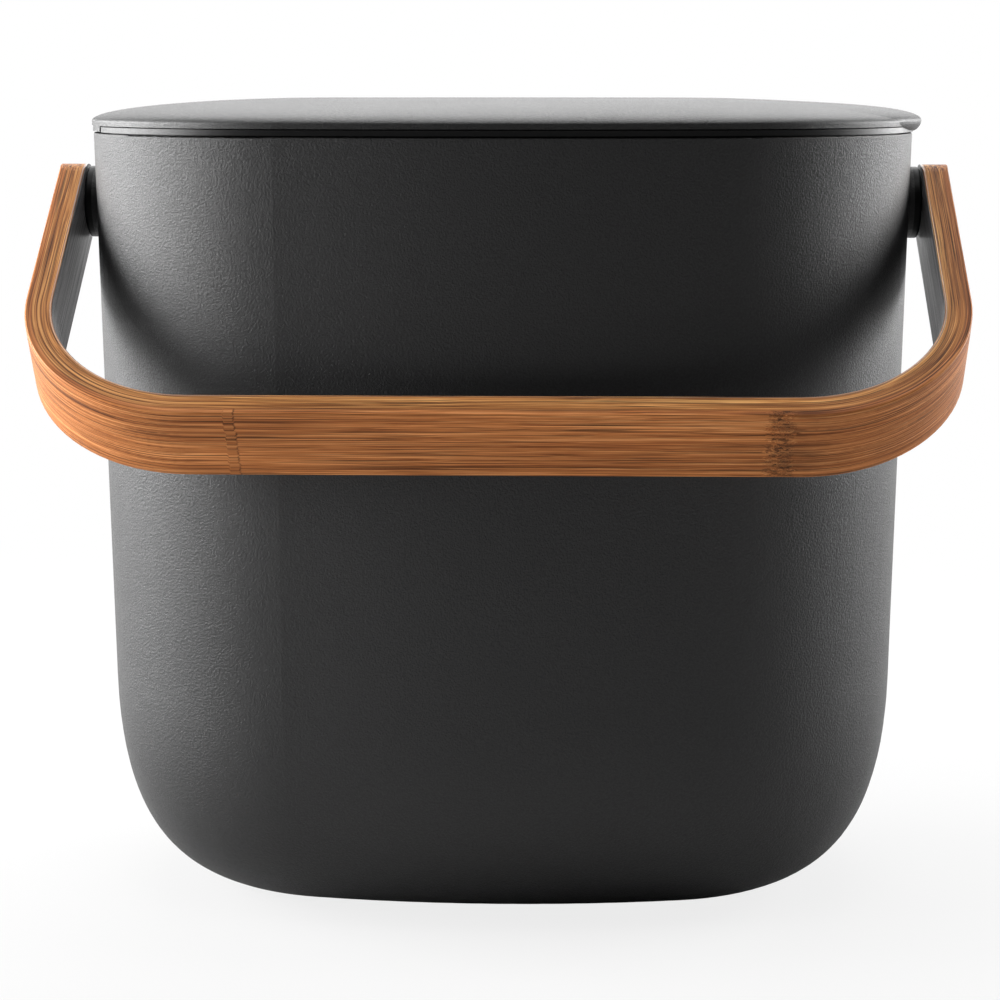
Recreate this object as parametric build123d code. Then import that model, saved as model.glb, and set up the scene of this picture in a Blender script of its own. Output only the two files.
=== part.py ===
from build123d import *
import math
import os

os.makedirs("parts", exist_ok=True)

# Bucket: outline at the rim, height and walls. Millimetres, degrees.
rim_width = 240.6
rim_depth = 156.0
side_radius = 330.0
height = 225.8
draft = 1.0
wall = 2.2
floor = 2.6
corner_height = 63.5
corner_reach = 47.8
side_fullness = 0.73
floor_fullness = 0.64
foot_band = 5.0
foot_recess = 1.0
rim_round = 0.5

# Bag ring: flange on the rim and collar inside the wall
seat_gap = 0.3
ring_overhang = 0.2
flange = 1.5
collar_gap = 0.6
collar = 1.8
collar_depth = 12.0
bag_bead = 0.35

# Lid: rim, crown and locating skirt
lid_overhang = 0.45
lid_edge = 1.2
crown_rise = 6.6
crown_fullness = 0.72
crown_centre_radius = 9.0
lid_wall = 1.8
skirt_inset = 7.2
skirt = 1.5
skirt_drop = 5.0

# Finger lip at the right end of the lid, where the crown runs on past the rim to a rounded nose
lip_reach = 2.7
lip_arc_radius = 60.0
lip_sweep = 150.0
lip_above_rim = 0.45
lip_tip_height = 3.5
lip_nose = 4.0
lip_start = 0.6
lip_run = 17.0
lip_under = 1.4

# Lid hinge at the left end: a block under the lid fills a gap in the ring and turns on the ring's lug
hinge_inset = 1.6
hinge_above_rim = 2.4
hinge_pin_radius = 0.7
hinge_pin_half = 9.5
block_half_width = 30.0
block_gap = 1.4
block_above_rim = 0.45
block_depth = 4.0
lug_half_width = 4.5
lug_radius = 1.3
lug_web_inset = 0.65
lug_root_depth = 1.8
lug_gap = 0.3
running_gap = 0.05
rim_clearance = 0.15

# Handle: bent bamboo strip, as it hangs against the front wall
hang_angle = 33.9
strip_width = 22.3
outer_ply = 1.95
core_ply = 1.4
inner_ply = 2.2
dark_ply = 0.8
bend_radius = 49.0
strip_round = 0.6
bar_gap = 0.5

# Handle pivots
pivot_below_rim = 20.7
pivot_pad_radius = 10.5
pivot_pad_proud = 0.6
pad_root = 0.4
bush_flange = 2.1
bush_flange_round = 0.8
bush_radius = 6.0
bush_inner_proud = 0.2
arm_gap = 0.4
pin_radius = 3.0
pin_head_radius = 6.5
pin_head = 1.8
cap_radius = 7.0
cap_length = 3.0
cap_wall = 1.5
cap_round = 1.0
fit_gap = 0.03

# How far a cut runs past the piece it cuts
cut_past = 1.0

half_width = rim_width / 2
half_depth = rim_depth / 2
slope = math.tan(math.radians(draft))
end_radius = (2 * side_radius * half_depth - half_width**2 - half_depth**2) / (2 * (side_radius - half_width))
end_centre = half_width - end_radius
side_centre = side_radius - half_depth
side_half_angle = math.degrees(math.atan2(end_centre, side_centre))
ring_bottom = height + seat_gap
ring_top = ring_bottom + flange
lid_bottom = ring_top + seat_gap
crown_base = lid_bottom + lid_edge
crown_reach = end_radius - crown_centre_radius
collar_inset = wall + collar_gap
pivot_height = height - pivot_below_rim
hinge_x = hinge_inset - half_width
hinge_z = height + hinge_above_rim


def oval_arcs():
    """Centre, radius, start angle and sweep of the outline's two ends and two long sides."""
    end_sweep = 180 - 2 * side_half_angle
    side_sweep = 2 * side_half_angle
    return [
        ((end_centre, 0), end_radius, -end_sweep / 2, end_sweep),
        ((0, -side_centre), side_radius, 90 - side_half_angle, side_sweep),
        ((-end_centre, 0), end_radius, 180 - end_sweep / 2, end_sweep),
        ((0, side_centre), side_radius, 270 - side_half_angle, side_sweep),
    ]


def oval(inset):
    """Flat face inside the rim outline, moved in by inset."""
    arcs = [CenterArc(centre, radius - inset, start, sweep) for centre, radius, start, sweep in oval_arcs()]
    return make_face(Wire(arcs))


def prism(inset, low, high):
    return Pos(0, 0, low) * extrude(oval(inset), high - low)


def carried_round(section):
    """Carries a section round the outline: its x runs outward from the rim outline, its y is height."""
    solid = None
    for centre, radius, start, sweep in oval_arcs():
        placed = Pos(*centre, 0) * Rot(0, 0, start) * Pos(radius, 0, 0) * (Plane.XZ * section)
        sector = revolve(placed, Axis((*centre, 0), (0, 0, 1)), sweep)
        solid = sector if solid is None else solid + sector
    return solid


def outline_of(*edges):
    return make_face(Wire(list(edges)))


def corner_curve(inset, low):
    """Side of the wall turning into the floor, as one smooth curve."""
    side = -inset - (height - corner_height) * slope
    inner = -corner_reach - (height - corner_height) * slope
    rise = corner_height - low
    return Bezier(
        (side, corner_height),
        (side - side_fullness * rise * slope, corner_height - side_fullness * rise),
        (inner + floor_fullness * (side - inner), low),
        (inner, low),
    )


def crown_curve(start, rise_from, rise, reach):
    """Lid surface from its edge to the level middle."""
    return Bezier(
        (-start, rise_from),
        (-start, rise_from + crown_fullness * rise),
        (-reach + (1 - crown_fullness) * (reach - start), rise_from + rise),
        (-reach, rise_from + rise),
    )


def bucket_shell():
    """Moulded bucket: drafted wall, softly rounded corner, recessed floor and two flat pivot pads."""
    outer = corner_curve(0, 0)
    inner = corner_curve(wall, floor)
    section = outline_of(
        outer,
        Line(outer @ 1, inner @ 1),
        inner,
        Line(inner @ 0, (-wall, height)),
        Line((-wall, height), (0, height)),
        Line((0, height), outer @ 0),
    )
    rim_corners = section.vertices().sort_by(Axis.Y)[-2:]
    shell = carried_round(fillet(rim_corners, rim_round))
    base_inset = corner_reach + (height - corner_height) * slope
    shell += prism(base_inset, 0, floor)
    shell -= prism(base_inset + foot_band, 0, foot_recess)
    pad_face = half_width + pivot_pad_proud
    wall_face = half_width - pivot_below_rim * slope
    pad_thickness = pad_face - wall_face + arc_sag(end_radius, pivot_pad_radius) + pad_root
    for side in (1, -1):
        axis = Plane((side * pad_face, 0, pivot_height), z_dir=(-side, 0, 0))
        shell += axis * extrude(Circle(pivot_pad_radius), pad_thickness)
        shell -= axis * extrude(Circle(bush_radius + fit_gap), pad_face - bush_inner)
    return shell


def arc_sag(radius, half_chord):
    return radius - math.sqrt(radius**2 - half_chord**2)


def bag_ring():
    """Ring that holds the bag: flange on the rim, collar inside it and the lug of the lid's hinge."""
    low = height - collar_depth
    section = outline_of(
        Line((ring_overhang, ring_bottom), (ring_overhang, ring_top)),
        Line((ring_overhang, ring_top), (-collar_inset - collar, ring_top)),
        Line((-collar_inset - collar, ring_top), (-collar_inset - collar, low)),
        Line((-collar_inset - collar, low), (-collar_inset, low)),
        Line((-collar_inset, low), (-collar_inset + bag_bead, low + collar)),
        Line((-collar_inset + bag_bead, low + collar), (-collar_inset, low + 2 * collar)),
        Line((-collar_inset, low + 2 * collar), (-collar_inset, ring_bottom)),
        Line((-collar_inset, ring_bottom), (ring_overhang, ring_bottom)),
    )
    ring = carried_round(section)
    inner = collar_inset + collar
    gap_half = block_half_width + block_gap
    gap_depth = inner + arc_sag(end_radius - inner, gap_half) + cut_past
    ring -= end_block(-cut_past, gap_depth, gap_half, ring_bottom, ring_top + cut_past)
    ring += hinge_lug()
    return ring - hinge_rod(hinge_pin_radius + running_gap, lug_half_width + cut_past)


def end_block(near, far, half_wide, low, high):
    """Block at the left end: near and far are measured inward from the rim outline."""
    middle = Pos((near + far) / 2 - half_width, 0, (low + high) / 2)
    return middle * Box(far - near, 2 * half_wide, high - low)


def hinge_rod(radius, half_length):
    """Round bar on the axis of the lid's hinge."""
    axis = Plane((hinge_x, -half_length, hinge_z), z_dir=(0, 1, 0))
    return axis * extrude(Circle(radius), 2 * half_length)


def hinge_lug():
    """Lug on the ring: a barrel round the pin, carried by a web that stands on the collar."""
    inner = collar_inset + collar
    barrel = hinge_rod(lug_radius, lug_half_width)
    web = end_block(hinge_inset + lug_web_inset, inner, lug_half_width, height + block_above_rim, hinge_z)
    root = end_block(collar_inset, inner, lug_half_width, height - lug_root_depth, hinge_z)
    return barrel + web + root


def lid():
    """Crowned lid: a domed form with its finger lip, hollowed to a thin shell inside the locating skirt."""
    top = crown_curve(-lid_overhang, crown_base, crown_rise, crown_reach)
    foot = lid_bottom - skirt_drop
    outside = outline_of(
        Line((lid_overhang, lid_bottom), (lid_overhang, crown_base)),
        top,
        Line(top @ 1, (-crown_reach, foot)),
        Line((-crown_reach, foot), (-skirt_inset, foot)),
        Line((-skirt_inset, foot), (-skirt_inset, lid_bottom)),
        Line((-skirt_inset, lid_bottom), (lid_overhang, lid_bottom)),
    )
    dome = carried_round(outside) + prism(crown_reach, foot, crown_base + crown_rise)
    return with_hinge(dome + finger_lip(top) - lid_hollow(foot))


def lid_hollow(foot):
    """Space inside the skirt and under the crown."""
    under = crown_curve(skirt_inset + skirt, crown_base, crown_rise - lid_wall, crown_reach)
    low = foot - cut_past
    inside = outline_of(
        Line((-skirt_inset - skirt, low), under @ 0),
        under,
        Line(under @ 1, (-crown_reach, low)),
        Line((-crown_reach, low), (-skirt_inset - skirt, low)),
    )
    return carried_round(inside) + prism(crown_reach, low, crown_base + crown_rise - lid_wall)


def finger_lip(crown):
    """Nose that carries the crown on past the rim, turned about an upright axis inside the lid's outline."""
    root = lip_arc_radius - lip_reach
    low = height + lip_above_rim
    tip = height + lip_tip_height
    join = crown @ lip_start
    lead = crown % lip_start * -lip_run
    start = Vector(root + join.X, join.Y)
    outer = lip_arc_radius
    over = Bezier(start, start + Vector(lead.X, lead.Y), (outer, tip + lip_nose), (outer, tip))
    below = Bezier((outer, tip), (outer, tip - lip_under), (root + lip_under, low), (root, low))
    nose = outline_of(
        over,
        below,
        Line((root, low), (start.X, low)),
        Line((start.X, low), start),
    )
    centre = half_width - root
    placed = Pos(centre, 0, 0) * Rot(0, 0, -lip_sweep / 2) * (Plane.XZ * nose)
    lip = revolve(placed, Axis((centre, 0, 0), (0, 0, 1)), lip_sweep)
    return lip - prism(-lid_overhang, low - cut_past, lid_bottom)


def with_hinge(shell):
    """Adds the block that fills the ring's gap, rounds what swings over the rim and cuts the lug's pocket."""
    low = height + block_above_rim
    block = prism(-ring_overhang, low, crown_base) - prism(block_depth, low, crown_base)
    reach = block_depth + arc_sag(end_radius, block_half_width)
    shell += block & end_block(-cut_past, reach, block_half_width, low, crown_base)
    corner = end_block(-cut_past, hinge_inset, block_half_width, low - cut_past, hinge_z)
    shell -= corner - hinge_rod(hinge_above_rim - rim_clearance, block_half_width)
    pocket_half = lug_half_width + lug_gap
    pocket_depth = collar_inset + collar + lug_gap
    pocket = end_block(-cut_past, pocket_depth, pocket_half, low - cut_past, hinge_z + lug_gap)
    pocket += hinge_rod(lug_radius + lug_gap, pocket_half)
    return shell - pocket - hinge_rod(hinge_pin_radius + fit_gap, hinge_pin_half)


def handle_strip():
    """The bent strip in its own plane, bar toward -Y, ends rounded about the pivots."""
    thickness = sum(plies.values())
    slab = extrude(bent_outline(0) - bent_outline(thickness), strip_width / 2, both=True)
    level_faces = slab.faces().sort_by(Axis.Z)
    strip = fillet(level_faces[0].edges() + level_faces[-1].edges(), strip_round)
    side_view = Pos(-bar_reach / 2, 0) * Rectangle(bar_reach, strip_width) + Circle(strip_width / 2)
    side_plane = Plane((-half_span, 0, 0), x_dir=(0, 1, 0), z_dir=(1, 0, 0))
    strip &= side_plane * extrude(side_view, 2 * half_span)
    for side in (1, -1):
        head = Plane((side * half_span, 0, 0), z_dir=(-side, 0, 0))
        strip -= head * extrude(Circle(pin_head_radius + fit_gap), pin_head)
        strip -= head * extrude(Circle(pin_radius + fit_gap), 2 * thickness)
    return strip


def bent_outline(inset):
    """Outline of the bent strip's faces, closed above the pivots."""
    return RectangleRounded(2 * (half_span - inset), 2 * (bar_reach - inset), bend_radius - inset)


def handle_ply(outside, inside):
    band = bent_outline(outside) - bent_outline(inside)
    return handle_plane * (strip & extrude(band, strip_width, both=True))


def pivot_pin(side):
    """Headed pin sunk flush in the arm, through the bush to the retaining cap."""
    axis = Plane((side * half_span, 0, pivot_height), z_dir=(-side, 0, 0))
    length = half_span - bush_inner + seat_gap + cap_length
    pin = extrude(Circle(pin_head_radius), pin_head)
    pin = chamfer(pin.faces().sort_by(Axis.Z)[0].edges(), strip_round / 2)
    return axis * (pin + extrude(Circle(pin_radius), length))


def pivot_bush(side):
    """Flanged bush in the wall, whose flange is the round boss behind the arm."""
    face = half_width + pivot_pad_proud + bush_flange
    axis = Plane((side * face, 0, pivot_height), z_dir=(-side, 0, 0))
    boss = extrude(Circle(pivot_pad_radius), bush_flange)
    boss = fillet(boss.faces().sort_by(Axis.Z)[0].edges(), bush_flange_round)
    bush = boss + extrude(Circle(bush_radius), face - bush_inner)
    return axis * (bush - extrude(Circle(pin_radius + running_gap), face))


def retaining_cap(side):
    """Round cap inside the bucket, pressed on the end of the pin."""
    axis = Plane((side * (bush_inner - seat_gap), 0, pivot_height), z_dir=(-side, 0, 0))
    cap = extrude(Circle(cap_radius), cap_length + cap_wall)
    cap = fillet(cap.faces().sort_by(Axis.Z)[-1].edges(), cap_round)
    return axis * (cap - extrude(Circle(pin_radius + fit_gap), cap_length + fit_gap))


def write(name, solid):
    export_step(solid, f"parts/{name}.step")


plies = {
    "handle_ply_outer": outer_ply,
    "handle_ply_core_1": core_ply,
    "handle_ply_core_2": core_ply,
    "handle_ply_inner": inner_ply,
    "handle_ply_dark": dark_ply,
}
arm_inner = half_width + pivot_pad_proud + bush_flange + arm_gap
half_span = arm_inner + sum(plies.values())
bush_inner = half_width - wall - pivot_below_rim * slope - arc_sag(end_radius, cap_radius) - bush_inner_proud
hang = math.radians(hang_angle)
half_strip = strip_width / 2
wall_to_bar = half_depth - (pivot_below_rim + half_strip * math.cos(hang)) * slope
bar_inner = (wall_to_bar + bar_gap + half_strip * math.sin(hang)) / (math.cos(hang) + slope * math.sin(hang))
bar_reach = bar_inner + sum(plies.values())
handle_plane = Plane((0, 0, pivot_height), x_dir=(1, 0, 0), z_dir=(0, -math.sin(hang), math.cos(hang)))

write("bucket_shell", bucket_shell())
write("bag_ring", bag_ring())
write("lid", lid())
write("lid_hinge_pin", hinge_rod(hinge_pin_radius, hinge_pin_half))

strip = handle_strip()
depth = 0
for ply_name, ply in plies.items():
    write(ply_name, handle_ply(depth, depth + ply))
    depth += ply

for side_name, side in (("right", 1), ("left", -1)):
    write(f"pivot_pin_{side_name}", pivot_pin(side))
    write(f"pivot_bush_{side_name}", pivot_bush(side))
    write(f"pivot_cap_{side_name}", retaining_cap(side))
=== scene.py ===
import bpy
import bmesh
import math
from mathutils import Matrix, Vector

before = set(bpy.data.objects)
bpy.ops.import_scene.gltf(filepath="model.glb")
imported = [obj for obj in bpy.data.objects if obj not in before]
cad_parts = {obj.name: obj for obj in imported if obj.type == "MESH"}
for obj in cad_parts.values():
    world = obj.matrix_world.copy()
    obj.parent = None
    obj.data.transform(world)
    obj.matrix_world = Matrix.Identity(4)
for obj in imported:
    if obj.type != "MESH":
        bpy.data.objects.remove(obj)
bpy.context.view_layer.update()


# Camera. It stands 742 mm in front of the bucket, a little to its right and just above
# the lid, and looks slightly down, as in the photograph.
def link_object(name, data):
    made = bpy.data.objects.new(name, data)
    bpy.context.scene.collection.objects.link(made)
    return made


camera_distance = 0.742
camera_height = 0.2409
camera_side = math.radians(1.6)
camera_tilt_down = 0.168
camera_extra_turn = 0.00085

camera_data = bpy.data.cameras.new("camera")
camera_data.sensor_width = 36.0
camera_data.lens = 89.2
camera_data.clip_start = 0.01
camera = link_object("camera", camera_data)
camera.location = (camera_distance * math.sin(camera_side),
                   -camera_distance * math.cos(camera_side), camera_height)
camera.rotation_euler = (math.pi / 2 - camera_tilt_down, 0.0, camera_side + camera_extra_turn)
bpy.context.scene.camera = camera
bpy.context.scene.view_settings.view_transform = "Standard"


# Floor and surroundings. A wide white sweep that runs on into a white room; only the soft
# shadow under the bucket shows on it. Behind the bucket the room is bright, in front dim.
def add_node(tree, kind, **values):
    """A node with its settings by name; in0, in1 and so on set or link its sockets by place."""
    made = tree.nodes.new(kind)
    for name, value in values.items():
        if name.startswith("in") and name[2:].isdigit():
            socket = made.inputs[int(name[2:])]
            if isinstance(value, bpy.types.NodeSocket):
                tree.links.new(value, socket)
            else:
                socket.default_value = value
        else:
            setattr(made, name, value)
    return made


def calc(tree, kind, first, second=0.0):
    """Arithmetic with one or two numbers."""
    return add_node(tree, "ShaderNodeMath", operation=kind, in0=first, in1=second).outputs[0]


def calc_vector(tree, kind, first, second=(0.0, 0.0, 0.0)):
    """Arithmetic with one or two vectors; a length or a dot product comes out as a number."""
    made = add_node(tree, "ShaderNodeVectorMath", operation=kind, in0=first, in1=second)
    return made.outputs["Value" if kind in ("LENGTH", "DOT_PRODUCT") else "Vector"]


def ranged(tree, value, low, high, out_low=0.0, out_high=1.0, soft=False):
    """Maps low..high to out_low..out_high and holds both ends; soft rounds the bends there."""
    return add_node(tree, "ShaderNodeMapRange", in0=value, in1=low, in2=high, in3=out_low,
                    in4=out_high, interpolation_type="SMOOTHSTEP" if soft else "LINEAR").outputs[0]


def blended(tree, share, first, second):
    """A number between first and second."""
    return add_node(tree, "ShaderNodeMix", in0=share, in2=first, in3=second).outputs[0]


def seen_as_white(tree, behind):
    """1 for what is seen straight or through glass, and for what mirrors the room behind."""
    path = add_node(tree, "ShaderNodeLightPath")
    straight = calc(tree, "MAXIMUM", path.outputs["Is Camera Ray"],
                    path.outputs["Is Transmission Ray"])
    mirrored = calc(tree, "MULTIPLY", path.outputs["Is Glossy Ray"], behind)
    return calc(tree, "MAXIMUM", straight, mirrored)


white = (1.0, 1.0, 1.0, 1.0)
floor_radius = 12.0
floor_tone = (0.55, 0.55, 0.55, 1.0)
shadow_start, shadow_end = 0.15, 0.60
shadow_whiteness = 0.82

floor_mesh = bpy.data.meshes.new("floor")
floor_form = bmesh.new()
bmesh.ops.create_circle(floor_form, cap_ends=True, segments=96, radius=floor_radius)
floor_form.to_mesh(floor_mesh)
floor_form.free()
floor = link_object("floor", floor_mesh)

floor_paint = bpy.data.materials.new("white_floor")
floor_paint.use_nodes = True
tree = floor_paint.node_tree
tree.nodes.clear()
place = add_node(tree, "ShaderNodeTexCoord").outputs["Object"]
away = calc_vector(tree, "LENGTH", place)
whiteness = ranged(tree, away, shadow_start, shadow_end, shadow_whiteness, 1.0, soft=True)
rearward = add_node(tree, "ShaderNodeSeparateXYZ", in0=place).outputs["Y"]
seen = seen_as_white(tree, ranged(tree, rearward, -0.05, 0.5, soft=True))
matt = add_node(tree, "ShaderNodeBsdfDiffuse", in0=floor_tone)
glow = add_node(tree, "ShaderNodeEmission", in0=white, in1=1.0)
paint = add_node(tree, "ShaderNodeMixShader", in0=calc(tree, "MULTIPLY", seen, whiteness),
                 in1=matt.outputs[0], in2=glow.outputs[0])
add_node(tree, "ShaderNodeOutputMaterial", in0=paint.outputs[0])
floor_mesh.materials.append(floor_paint)

front_light, back_light = 0.03, 0.35
room = bpy.data.worlds.new("room")
bpy.context.scene.world = room
room.use_nodes = True
tree = room.node_tree
tree.nodes.clear()
way = add_node(tree, "ShaderNodeTexCoord").outputs["Generated"]
rearward = add_node(tree, "ShaderNodeSeparateXYZ", in0=way).outputs["Y"]
light = ranged(tree, rearward, -0.2, 0.55, front_light, back_light, soft=True)
seen = seen_as_white(tree, ranged(tree, rearward, -0.1, 0.3, soft=True))
glow = add_node(tree, "ShaderNodeBackground", in0=white, in1=blended(tree, seen, light, 1.0))
add_node(tree, "ShaderNodeOutputWorld", in0=glow.outputs[0])


# Lamps. Square softboxes on both sides, level with the bucket and mostly a little behind it,
# draw the bright ends and leave the front dark. Those above light the lid and the top edge
# of the handle, and a low one behind lights the back.
lamp_aim = Vector((0.0, 0.0, 0.13))


def softbox(name, around, up, radiance, distance=1.4, wide=0.6, high=0.6):
    """A lamp that faces the bucket. Around is its angle from the front towards the left, and
    up its angle above the level."""
    turn, rise = math.radians(around), math.radians(up)
    way = Vector((-math.sin(turn) * math.cos(rise), -math.cos(turn) * math.cos(rise),
                  math.sin(rise)))
    lamp_data = bpy.data.lights.new(name, "AREA")
    lamp_data.shape = "RECTANGLE"
    lamp_data.size = wide
    lamp_data.size_y = high
    lamp_data.energy = math.pi * wide * high * radiance
    lamp = link_object(name, lamp_data)
    lamp.location = lamp_aim + distance * way
    lamp.rotation_euler = (-way).to_track_quat("-Z", "Y").to_euler()


softbox("left_front_softbox", 80, 12, 15.5)
softbox("left_softbox", 100, 12, 18.5)
softbox("left_back_softbox", 120, 12, 9.0)
softbox("left_high_softbox", 100, 32, 4.0)
softbox("right_softbox", -105, 12, 6.0)
softbox("right_back_softbox", -125, 12, 10.5)
softbox("right_high_softbox", -105, 32, 1.5)
softbox("overhead_softbox", 180, 62, 3.0, distance=1.5, wide=1.2, high=0.8)
softbox("front_high_softbox", 0, 76, 5.0, distance=1.5, wide=0.9, high=0.7)
softbox("back_softbox", 180, 28, 2.5, distance=1.8, wide=1.8, high=0.7)


# Bucket. Injection moulded in black plastic with a fine spark-eroded grain, which scatters
# the light into a soft sheen along the edges and leaves the broad front nearly black.
def new_finish(name):
    finish = bpy.data.materials.new(name)
    finish.use_nodes = True
    return finish, finish.node_tree, finish.node_tree.nodes["Principled BSDF"]


def noise(tree, place, scale, octaves, roughness):
    return add_node(tree, "ShaderNodeTexNoise", in0=place, in2=scale, in3=octaves,
                    in4=roughness).outputs[0]


def toned(tree, share, first, second, kind="MIX"):
    """A colour between first and second, or their product."""
    return add_node(tree, "ShaderNodeMix", data_type="RGBA", blend_type=kind, in0=share,
                    in6=first, in7=second).outputs[2]


def surface(tree, shader, tone, roughness, relief, strength, height):
    """Gives the shader its colour, its roughness and its relief."""
    bump = add_node(tree, "ShaderNodeBump", in0=strength, in1=height, in3=relief)
    tree.links.new(tone, shader.inputs["Base Color"])
    tree.links.new(roughness, shader.inputs["Roughness"])
    tree.links.new(bump.outputs[0], shader.inputs["Normal"])


def moulded_plastic(name, dark, pale, grain, grain_height, roughness, shine):
    """Black moulded plastic: two close tones, uneven roughness and a grain in the surface."""
    finish, tree, shader = new_finish(name)
    place = add_node(tree, "ShaderNodeTexCoord").outputs["Object"]
    pits = noise(tree, place, grain, octaves=2.0, roughness=0.55)
    fine_pits = noise(tree, place, grain * 2.7, octaves=2.0, roughness=0.6)
    clouds = noise(tree, place, 14.0, octaves=3.0, roughness=0.55)
    tone = toned(tree, ranged(tree, pits, 0.35, 0.65), dark, pale)
    pitted = ranged(tree, pits, 0.3, 0.7, roughness + 0.05, roughness - 0.05)
    uneven = ranged(tree, clouds, 0.3, 0.7, -0.02, 0.02)
    relief = blended(tree, 0.35, pits, fine_pits)
    surface(tree, shader, tone, calc(tree, "ADD", pitted, uneven), relief,
            strength=0.8, height=grain_height)
    shader.inputs["Specular IOR Level"].default_value = shine
    return finish


def dress(node, finish):
    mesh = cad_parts[node].data
    mesh.materials.clear()
    mesh.materials.append(finish)


grain_dark, grain_pale = (0.0016, 0.0016, 0.0018, 1), (0.0078, 0.0078, 0.0081, 1)
bucket_plastic = moulded_plastic("bucket_plastic", grain_dark, grain_pale, grain=1700.0,
                                 grain_height=0.00036, roughness=0.49, shine=0.5)
dress("bucket_shell", bucket_plastic)


# Bag ring. Moulded in the same black plastic but left smooth, so it is glossier than the
# bucket. It clamps the bag's edge over the rim and carries the lid's hinge.
ring_plastic = moulded_plastic("ring_plastic", (0.0010, 0.0010, 0.0011, 1),
                               (0.0024, 0.0024, 0.0026, 1), grain=1300.0,
                               grain_height=0.00004, roughness=0.38, shine=0.3)
dress("bag_ring", ring_plastic)


# Lid. A thin crowned moulding with a slightly shallower grain than the bucket's and a finger
# lip at the right end; the block below its left end closes the gap in the ring.
lid_plastic = moulded_plastic("lid_plastic", grain_dark, grain_pale, grain=1700.0,
                              grain_height=0.00028, roughness=0.45, shine=0.5)
dress("lid", lid_plastic)


# Hinge pin of the lid. Bright steel wire, pressed into the lid's block and free to turn in
# the ring's lug; drawing left fine lines round it.
def turned_steel(name, centre, square_to_axis):
    """Turned steel: fine rings of scratches round the pin's own axis, and faint stains."""
    finish, tree, shader = new_finish(name)
    shader.inputs["Metallic"].default_value = 1.0
    place = add_node(tree, "ShaderNodeTexCoord").outputs["Object"]
    from_centre = calc_vector(tree, "SUBTRACT", place, centre)
    outward = calc_vector(tree, "MULTIPLY", from_centre, square_to_axis)
    lengthwise = calc_vector(tree, "SUBTRACT", from_centre, outward)
    turned = add_node(tree, "ShaderNodeCombineXYZ", in0=calc_vector(tree, "LENGTH", outward),
                      in1=calc_vector(tree, "LENGTH", lengthwise)).outputs[0]
    scratches = noise(tree, turned, 5200.0, octaves=4.0, roughness=0.7)
    stains = noise(tree, place, 420.0, octaves=3.0, roughness=0.6)
    wear = blended(tree, 0.35, scratches, stains)
    tone = toned(tree, wear, (0.46, 0.46, 0.47, 1), (0.64, 0.64, 0.65, 1))
    surface(tree, shader, tone, ranged(tree, wear, 0.3, 0.7, 0.24, 0.4), scratches,
            strength=0.3, height=0.00001)
    return finish


hinge_centre = (-0.1187, 0.0, 0.2282)
hinge_steel = turned_steel("hinge_steel", hinge_centre, (1.0, 0.0, 1.0))
dress("lid_hinge_pin", hinge_steel)


# Handle. Five bamboo plies bent and glued together: a pale one outside, two darker ones in
# the middle, a pale one and a thin one, its face stained black, inside; clear satin lacquer.
# The pale grey streaks in that black stain are painted sheen, the reflection of the bright room.
pivot = Vector((0.0, 0.0, 0.2051))
hang = math.radians(33.9)
half_span = 0.13115
bar_reach = 0.1080
bend_radius = 0.049
strip_thickness = 0.00775
glue_depths = (0.00195, 0.00335, 0.00475, 0.00695)
glue_half_width = 0.00012
stain_thickness = 0.00025
left_ring, right_ring = -0.0683, 0.0762
left_ring_width, left_ring_step, left_ring_slant = 0.0030, 0.0008, 0.015
right_ring_half_width, right_ring_sway, smear_length = 0.0046, 0.0012, 0.024


def strip_run():
    """Node group: distance along the bent strip, across its width and into its thickness."""
    group = bpy.data.node_groups.new("strip_run", "ShaderNodeTree")
    group.interface.new_socket("Run", in_out="OUTPUT", socket_type="NodeSocketVector")
    place = add_node(group, "ShaderNodeTexCoord").outputs["Object"]
    from_pivot = calc_vector(group, "SUBTRACT", place, pivot)
    across = calc_vector(group, "DOT_PRODUCT", from_pivot,
                         (0.0, -math.sin(hang), math.cos(hang)))
    forward = calc_vector(group, "DOT_PRODUCT", from_pivot,
                          (0.0, -math.cos(hang), -math.sin(hang)))
    sideways = add_node(group, "ShaderNodeSeparateXYZ", in0=from_pivot).outputs["X"]

    past_bar = calc(group, "SUBTRACT", calc(group, "ABSOLUTE", sideways), half_span - bend_radius)
    past_arm = calc(group, "SUBTRACT", forward, bar_reach - bend_radius)
    bar_out, arm_out = (calc(group, "MAXIMUM", past, 0.0) for past in (past_bar, past_arm))
    bar_in, arm_in = (calc(group, "MINIMUM", past, 0.0) for past in (past_bar, past_arm))
    turned = calc(group, "MULTIPLY", calc(group, "ARCTAN2", arm_out, bar_out), bend_radius)
    past_arm_end = calc(group, "SUBTRACT", calc(group, "ADD", turned, arm_in), bar_in)
    middle_to_arm_end = (half_span - bend_radius) + bend_radius * math.pi / 2
    from_middle = calc(group, "SUBTRACT", middle_to_arm_end, past_arm_end)
    along = calc(group, "MULTIPLY", from_middle, calc(group, "SIGN", sideways))

    from_bend = add_node(group, "ShaderNodeCombineXYZ", in0=bar_out, in1=arm_out).outputs[0]
    depth = calc(group, "SUBTRACT", bend_radius, calc_vector(group, "LENGTH", from_bend))
    run = add_node(group, "ShaderNodeCombineXYZ", in0=along, in1=across, in2=depth)
    add_node(group, "NodeGroupOutput", in0=run.outputs[0])
    return group


run_group = strip_run()


def ramp_of(tree, factor, stops):
    """Colour ramp with its stops as pairs of place and colour."""
    made = add_node(tree, "ShaderNodeValToRGB", in0=factor)
    elements = made.color_ramp.elements
    elements[0].position, elements[0].color = stops[0]
    elements[1].position, elements[1].color = stops[-1]
    for position, colour in stops[1:-1]:
        elements.new(position).color = colour
    return made.outputs[0]


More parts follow.
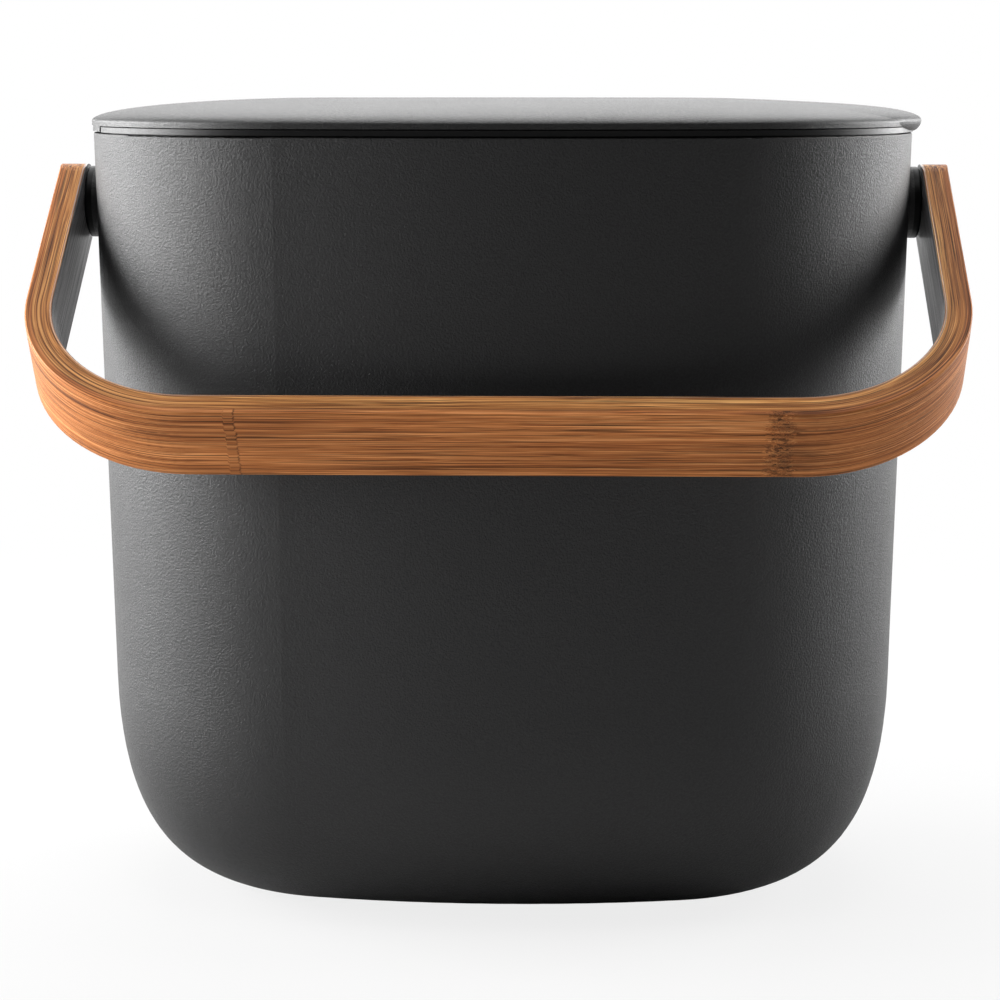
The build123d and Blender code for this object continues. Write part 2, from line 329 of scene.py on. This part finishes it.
def strip_grain(tree, run, seed, layer, along, across, octaves=2.0, roughness=0.5):
    """Noise drawn out along the strip; each layer of a seed starts elsewhere in the noise."""
    moved = add_node(tree, "ShaderNodeMapping", in0=run,
                     in1=(seed + layer, seed * 0.37 + layer, layer), in3=(along, across, across))
    return noise(tree, moved.outputs[0], 1.0, octaves, roughness)


def band(tree, value, rise, fall):
    """1 between rise and fall, each the start and the end of a soft border."""
    return calc(tree, "MULTIPLY", ranged(tree, value, *rise, 0.0, 1.0, soft=True),
                ranged(tree, value, *fall, 1.0, 0.0, soft=True))


def cane_rings(tree, run, seed):
    """The cane's joints: a stepped one at the left and a mottled one at the right, as masks
    with their strengths, and how far they shift the fibres across and in depth."""
    apart = add_node(tree, "ShaderNodeSeparateXYZ", in0=run)
    along, across = apart.outputs["X"], apart.outputs["Y"]
    wiggle = ranged(tree, strip_grain(tree, run, seed, layer=8.0, along=40.0, across=900.0,
                                      roughness=0.6), 0.3, 0.7, -0.0003, 0.0003)
    slanted = calc(tree, "ADD", along, calc(tree, "MULTIPLY", across, left_ring_slant))
    from_left = calc(tree, "ADD", slanted, calc(tree, "SUBTRACT", wiggle, left_ring))
    stepped = band(tree, from_left, (-left_ring_width, 0.0004 - left_ring_width),
                   (-0.0002, 0.0002))
    line = band(tree, from_left, (-0.0004, 0.0), (0.0, 0.0005))
    broken = ranged(tree, strip_grain(tree, run, seed, layer=3.0, along=60.0, across=700.0,
                                      octaves=1.0), 0.35, 0.6, 0.2, 1.0)

    ragged = calc(tree, "SUBTRACT", calc(tree, "MULTIPLY", wiggle, 5.0), right_ring)
    from_right = calc(tree, "ADD", along, ragged)
    knot = band(tree, from_right, (-right_ring_half_width, -0.0014),
                (0.0014, right_ring_half_width))
    smear = band(tree, from_right, (-0.002, 0.002), (0.004, smear_length))
    mottle = strip_grain(tree, run, seed, layer=6.0, along=420.0, across=900.0, octaves=3.0,
                         roughness=0.65)
    patchy = ranged(tree, strip_grain(tree, run, seed, layer=7.0, along=60.0, across=260.0,
                                      roughness=0.6), 0.35, 0.65, 0.1, 1.0)

    marks = [(calc(tree, "MULTIPLY", line, broken), 0.62),
             (calc(tree, "MULTIPLY", knot, ranged(tree, mottle, 0.42, 0.62)), 0.66),
             (calc(tree, "MULTIPLY", smear, patchy), 0.50), (stepped, 0.10)]
    across_shift = calc(tree, "MULTIPLY", stepped, left_ring_step)
    depth_shift = calc(tree, "MULTIPLY", knot,
                       ranged(tree, mottle, 0.3, 0.7, -right_ring_sway, right_ring_sway))
    return marks, across_shift, depth_shift


def glue_lines(tree, depth):
    """Dark lines between the plies, as a colour to multiply by."""
    glue = (0.30, 0.21, 0.16, 1.0)
    stops = [(0.0, white)]
    for middle in glue_depths:
        stops += [((middle - glue_half_width) / strip_thickness, white),
                  (middle / strip_thickness, glue),
                  ((middle + glue_half_width) / strip_thickness, white)]
    stops.append((1.0, white))
    return ramp_of(tree, calc(tree, "DIVIDE", depth, strip_thickness), stops)


def bamboo(name, dark, middle, pale, seed, gloss=0.14, roughness=0.5, rings=False, stained_with_painted_sheen=False):
    """Lacquered bamboo: fibres, streaks and dark vessels along the strip, and glue lines."""
    finish, tree, shader = new_finish(name)
    run = add_node(tree, "ShaderNodeGroup", node_tree=run_group).outputs[0]
    depth = add_node(tree, "ShaderNodeSeparateXYZ", in0=run).outputs["Z"]

    wander = ranged(tree, strip_grain(tree, run, seed, layer=5.0, along=14.0, across=90.0),
                    0.0, 1.0, -0.0007, 0.0007)
    marks, shift_across, shift_depth = [], wander, wander
    if rings:
        marks, ring_across, ring_depth = cane_rings(tree, run, seed)
        shift_across = calc(tree, "ADD", wander, ring_across)
        shift_depth = calc(tree, "ADD", wander, ring_depth)
    shift = add_node(tree, "ShaderNodeCombineXYZ", in1=shift_across, in2=shift_depth)
    swayed = calc_vector(tree, "ADD", run, shift.outputs[0])

    fibres = strip_grain(tree, swayed, seed, layer=0.0, along=30.0, across=4200.0, octaves=3.0,
                         roughness=0.65)
    streaks = strip_grain(tree, swayed, seed, layer=1.0, along=9.0, across=1100.0, octaves=4.0,
                          roughness=0.7)
    vessels = ranged(tree, strip_grain(tree, swayed, seed, layer=2.0, along=20.0,
                                       across=2900.0), 0.53, 0.64)
    clouds = strip_grain(tree, run, seed, layer=4.0, along=15.0, across=70.0)
    blend = blended(tree, 0.52, streaks, fibres)
    wood = ramp_of(tree, ranged(tree, blend, 0.38, 0.62),
                   [(0.0, dark), (0.5, middle), (1.0, pale)])
    shade = calc(tree, "MULTIPLY", ranged(tree, clouds, 0.3, 0.7, 0.84, 1.14),
                 ranged(tree, vessels, 0.0, 1.0, 1.0, 0.32))
    for mask, strength in marks:
        shade = calc(tree, "MULTIPLY", shade, ranged(tree, mask, 0.0, 1.0, 1.0, 1.0 - strength))
    glued = toned(tree, 1.0, wood, glue_lines(tree, depth), kind="MULTIPLY")
    tone = add_node(tree, "ShaderNodeVectorMath", operation="SCALE", in0=glued,
                    in3=shade).outputs[0]
    if stained_with_painted_sheen:
        # Black stain on the inner face. Its pale grey streaks are painted sheen, standing in for
        # the bright room's reflection.
        stain_from = strip_thickness - stain_thickness
        stain_and_painted_sheen = ramp_of(tree, blend, [(0.40, (0.04, 0.038, 0.04, 1)),
                                      (0.58, (0.62, 0.60, 0.61, 1))])
        tone = toned(tree, ranged(tree, depth, stain_from, stain_from + 0.00006), tone, stain_and_painted_sheen)

    lacquer = ranged(tree, blend, 0.3, 0.7, roughness + 0.06, roughness - 0.06)
    relief = blended(tree, 0.5, fibres, calc(tree, "SUBTRACT", 1.0, vessels))
    surface(tree, shader, tone, lacquer, relief, strength=0.4, height=0.00008)
    shader.inputs["Specular IOR Level"].default_value = gloss
    return finish


inner_tones = (0.15, 0.050, 0.014, 1), (0.50, 0.20, 0.055, 1), (0.80, 0.43, 0.15, 1)
outer_bamboo = bamboo("outer_bamboo", (0.18, 0.049, 0.012, 1), (0.46, 0.157, 0.043, 1),
                      (0.78, 0.345, 0.125, 1), seed=0.0, rings=True)
core_bamboo = bamboo("core_bamboo", (0.075, 0.022, 0.006, 1), (0.37, 0.133, 0.032, 1),
                     (0.72, 0.35, 0.115, 1), seed=4.0)
inner_bamboo = bamboo("inner_bamboo", *inner_tones, seed=9.0)
stained_bamboo_with_painted_sheen = bamboo("stained_bamboo_with_painted_sheen", *inner_tones, seed=13.0, gloss=0.8, roughness=0.30,
                        stained_with_painted_sheen=True)
dress("handle_ply_outer", outer_bamboo)
dress("handle_ply_core_1", core_bamboo)
dress("handle_ply_core_2", core_bamboo)
dress("handle_ply_inner", inner_bamboo)
dress("handle_ply_dark", stained_bamboo_with_painted_sheen)


# Pivots. Each arm turns on a headed steel pin in a black flanged bush, whose flange is the
# round boss behind the arm; a black cap inside the bucket keeps the pin in.
pivot_plastic = moulded_plastic("pivot_plastic", (0.0020, 0.0020, 0.0021, 1),
                                (0.0032, 0.0032, 0.0034, 1), grain=1400.0,
                                grain_height=0.00005, roughness=0.42, shine=0.15)
pivot_steel = turned_steel("pivot_steel", pivot, (0.0, 1.0, 1.0))
for side in ("left", "right"):
    dress("pivot_bush_" + side, pivot_plastic)
    dress("pivot_cap_" + side, pivot_plastic)
    dress("pivot_pin_" + side, pivot_steel)
